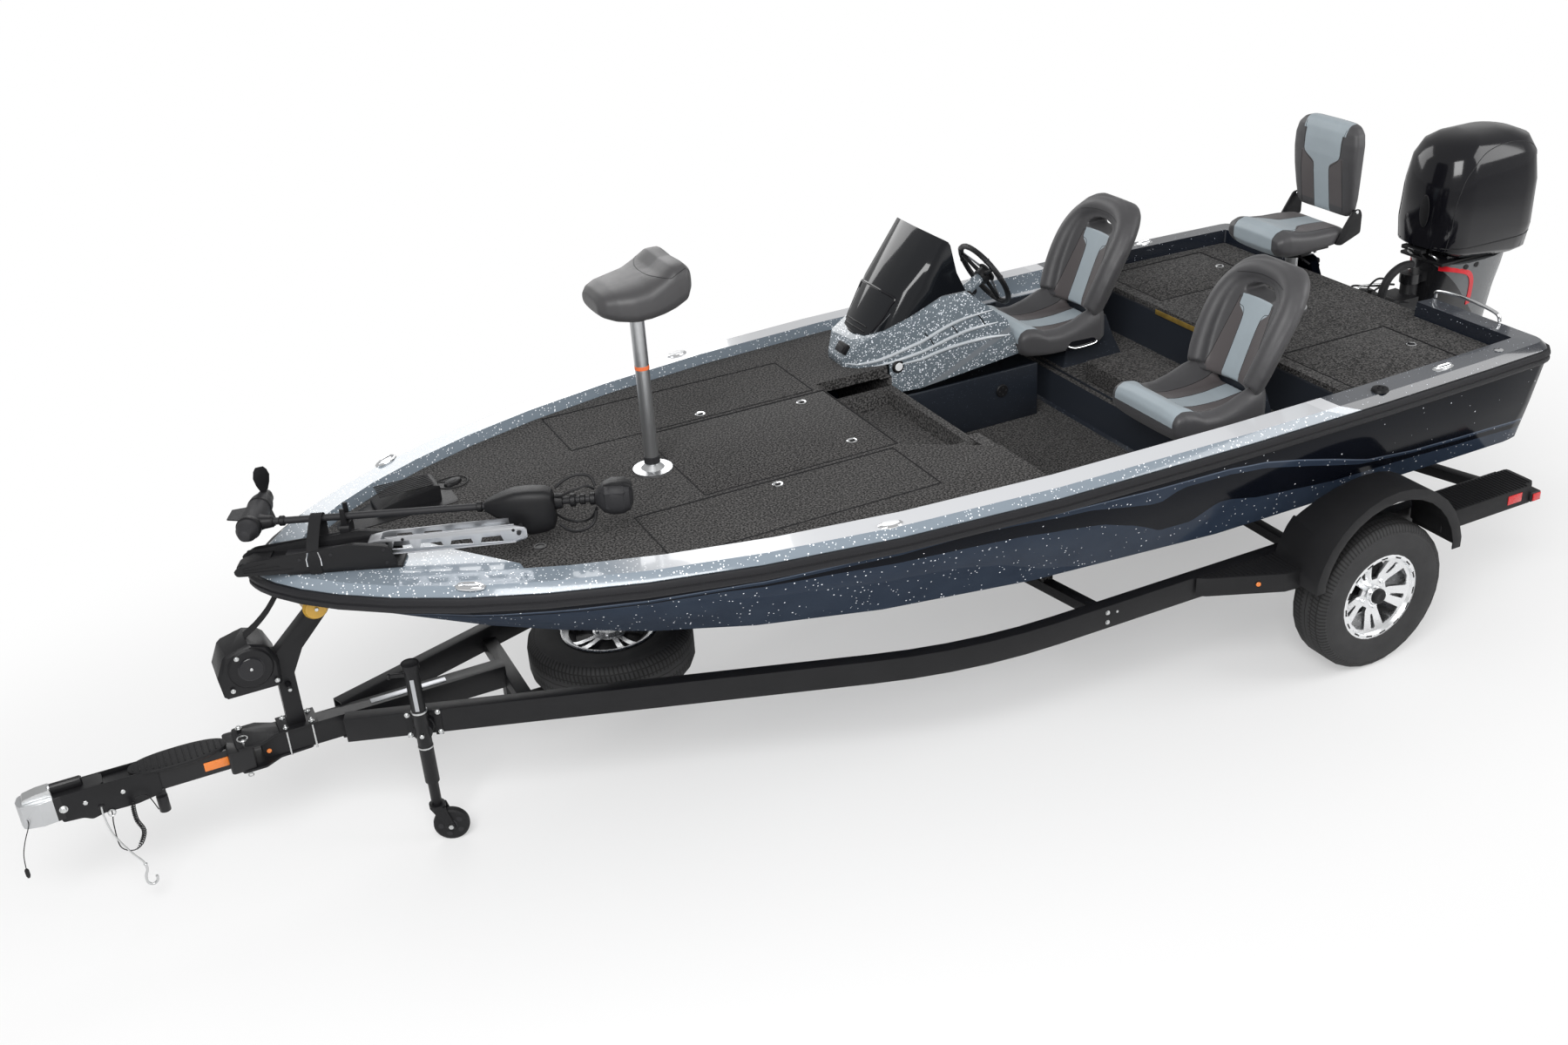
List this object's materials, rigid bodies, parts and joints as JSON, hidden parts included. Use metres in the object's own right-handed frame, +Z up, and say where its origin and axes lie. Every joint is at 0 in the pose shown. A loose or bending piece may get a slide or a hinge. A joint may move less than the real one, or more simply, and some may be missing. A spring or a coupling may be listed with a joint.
{
  "type": "bass boat with trailer",
  "caption": "Open decked fishing boat with a V hull, helm console, seats, outboard and trolling motor, standing on its single-axle bunk trailer with a jack and a folding tongue.",
  "frame": {"origin": "on the floor, under the middle of the whole length from the coupler's tip to the outboard's aft face", "axes": "+X forward along the boat, +Y to port, +Z up"},
  "size_m": [7.6986, 2.58, 2.2584],
  "materials": {
    "alloy": "brushed",
    "blackGel": "gloss gelcoat with fine flake",
    "blackPlastic": "satin",
    "blackSteel": "gloss paint",
    "carpet": "low pile deck carpet on a moulded panel",
    "chromeRim": "chromed",
    "cowlBlack": "gloss paint",
    "darkTrim": "satin",
    "legGrey": "painted casting",
    "linerGrey": "satin liner with carpeted floor",
    "rubber": "matt",
    "silverGel": "gloss gelcoat",
    "smokeScreen": "dark tinted acrylic",
    "steel": "bright",
    "tyreRubber": "matt",
    "vinyl": "marine vinyl over foam"
  },
  "bodies": {
    "boat_and_trailer": {"hull": "blackGel", "rub_rail": "darkTrim", "gunwale_cap": "silverGel", "front_deck": "carpet", "rear_deck": "carpet", "cockpit_liner": "linerGrey", "seat_base": "blackPlastic", "seat_cushion_port": "vinyl", "seat_back_port": "vinyl", "seat_cushion_starboard": "vinyl", "seat_back_starboard": "vinyl", "console": "blackGel", "windscreen": "smokeScreen", "bow_post": "alloy", "chair_post": "alloy", "foot_pedal": "blackPlastic", "outboard_bracket": "legGrey", "trolling_base": "blackPlastic", "trailer_rail_port": "blackSteel", "trailer_rail_starboard": "blackSteel", "rear_crossmember": "blackSteel", "front_crossmember": "blackSteel", "bunk_port": "darkTrim", "bunk_starboard": "darkTrim", "tongue": "blackSteel", "spare_wheel": "tyreRubber", "axle": "blackSteel", "fender_port": "blackSteel", "fender_starboard": "blackSteel", "winch_stand": "blackSteel", "bow_strap": "darkTrim"},
    "centre_lid": {"centre_lid": "carpet"},
    "rod_lid_port": {"rod_lid_port": "carpet"},
    "rod_lid_starboard": {"rod_lid_starboard": "carpet"},
    "rear_lid_port": {"rear_lid_port": "carpet"},
    "rear_lid_starboard": {"rear_lid_starboard": "carpet"},
    "helm_wheel": {"steering_wheel": "blackPlastic"},
    "bow_seat": {"bow_seat": "vinyl"},
    "chair": {"chair_seat": "vinyl"},
    "chair_back": {"chair_back": "vinyl"},
    "outboard_swivel": {"outboard_swivel": "legGrey"},
    "outboard": {"outboard_leg": "legGrey", "outboard_cowl": "cowlBlack"},
    "propeller": {"propeller": "steel"},
    "trolling_arm": {"trolling_arm": "alloy"},
    "trolling_motor": {"trolling_motor": "blackPlastic"},
    "trolling_propeller": {"trolling_propeller": "blackPlastic"},
    "wheel_port": {"tyre_port": "tyreRubber", "rim_port": "chromeRim"},
    "wheel_starboard": {"tyre_starboard": "tyreRubber", "rim_starboard": "chromeRim"},
    "jack": {"jack_leg": "alloy"},
    "jack_caster": {"jack_fork": "steel"},
    "jack_wheel": {"jack_wheel": "rubber"},
    "tongue_end": {"swing_tongue": "blackSteel", "curly_cord": "rubber", "safety_cable": "steel", "breakaway_cable": "rubber", "cable_hook": "steel"}
  },
  "joints": [
    {"name": "wheel_port_spin", "type": "hinge", "parent": "boat_and_trailer", "child": "wheel_port", "pos_m": [-1.855, 1.1625, 0.365], "axis": [0, 1, 0], "continuous": true},
    {"name": "wheel_starboard_spin", "type": "hinge", "parent": "boat_and_trailer", "child": "wheel_starboard", "pos_m": [-1.855, -1.1625, 0.365], "axis": [0, 1, 0], "continuous": true},
    {"name": "jack_swing", "type": "hinge", "parent": "boat_and_trailer", "child": "jack", "pos_m": [2.311, 0.262, 0.545], "axis": [-0.342, -0.9397, 0], "range_deg": [0, 90]},
    {"name": "jack_caster_turn", "type": "hinge", "parent": "jack", "child": "jack_caster", "pos_m": [2.311, 0.262, 0.18], "axis": [0, 0, 1], "continuous": true},
    {"name": "jack_wheel_spin", "type": "hinge", "parent": "jack_caster", "child": "jack_wheel", "pos_m": [2.26871, 0.27739, 0.076], "axis": [0.342, 0.9397, 0], "continuous": true},
    {"name": "tongue_swing", "type": "hinge", "parent": "boat_and_trailer", "child": "tongue_end", "pos_m": [2.98, -0.055, 0.54], "axis": [0, 0, -1], "range_deg": [0, 110]},
    {"name": "outboard_tilt", "type": "hinge", "parent": "boat_and_trailer", "child": "outboard_swivel", "pos_m": [-2.97, 0, 1.16], "axis": [0, 1, 0], "range_deg": [0, 30]},
    {"name": "outboard_steer", "type": "hinge", "parent": "outboard_swivel", "child": "outboard", "pos_m": [-3.125, 0, 1], "axis": [0, 0, 1], "range_deg": [-30, 30]},
    {"name": "helm_turn", "type": "hinge", "parent": "boat_and_trailer", "child": "helm_wheel", "pos_m": [-0.928, -0.62, 1.571], "axis": [-0.8751, 0, 0.484], "range_deg": [-720, 720]},
    {"name": "propeller_spin", "type": "hinge", "parent": "outboard", "child": "propeller", "pos_m": [-3.745, 0, 0.43], "axis": [1, 0, 0], "continuous": true},
    {"name": "bow_seat_turn", "type": "hinge", "parent": "boat_and_trailer", "child": "bow_seat", "pos_m": [1.115, 0, 1.985], "axis": [0, 0, 1], "continuous": true},
    {"name": "chair_turn", "type": "hinge", "parent": "boat_and_trailer", "child": "chair", "pos_m": [-2.315, 0, 1.57], "axis": [0, 0, 1], "continuous": true},
    {"name": "chair_back_fold", "type": "hinge", "parent": "chair", "child": "chair_back", "pos_m": [-2.505, 0, 1.79], "axis": [0, 1, 0], "range_deg": [0, 80]},
    {"name": "trolling_arm_swing", "type": "hinge", "parent": "boat_and_trailer", "child": "trolling_arm", "pos_m": [2.355, 0.26, 1.4215], "axis": [0.4067, 0.9135, 0], "range_deg": [0, 140]},
    {"name": "trolling_motor_swing", "type": "hinge", "parent": "trolling_arm", "child": "trolling_motor", "pos_m": [1.84341, 0.48777, 1.4465], "axis": [0.4067, 0.9135, 0], "range_deg": [-70, 0]},
    {"name": "trolling_propeller_spin", "type": "hinge", "parent": "trolling_motor", "child": "trolling_propeller", "pos_m": [2.65828, -0.21436, 1.5065], "axis": [0.4067, 0.9135, 0], "continuous": true},
    {"name": "centre_lid_hinge", "type": "hinge", "parent": "boat_and_trailer", "child": "centre_lid", "pos_m": [1.0225, 0, 1.3], "axis": [0, 1, 0], "range_deg": [0, 72]},
    {"name": "rod_lid_port_hinge", "type": "hinge", "parent": "boat_and_trailer", "child": "rod_lid_port", "pos_m": [0.755, 0.775, 1.3], "axis": [-1, 0, 0], "range_deg": [0, 88]},
    {"name": "rod_lid_starboard_hinge", "type": "hinge", "parent": "boat_and_trailer", "child": "rod_lid_starboard", "pos_m": [0.755, -0.775, 1.3], "axis": [1, 0, 0], "range_deg": [0, 88]},
    {"name": "rear_lid_port_hinge", "type": "hinge", "parent": "boat_and_trailer", "child": "rear_lid_port", "pos_m": [-2.2, 0.93, 1.278], "axis": [-1, 0, 0], "range_deg": [0, 88]},
    {"name": "rear_lid_starboard_hinge", "type": "hinge", "parent": "boat_and_trailer", "child": "rear_lid_starboard", "pos_m": [-2.2, -0.93, 1.278], "axis": [1, 0, 0], "range_deg": [0, 88]}
  ],
  "couplings": [
    {"joint": "outboard_steer", "follows": "helm_turn", "ratio": -0.041667},
    {"joint": "trolling_motor_swing", "follows": "trolling_arm_swing", "ratio": -0.5}
  ]
}
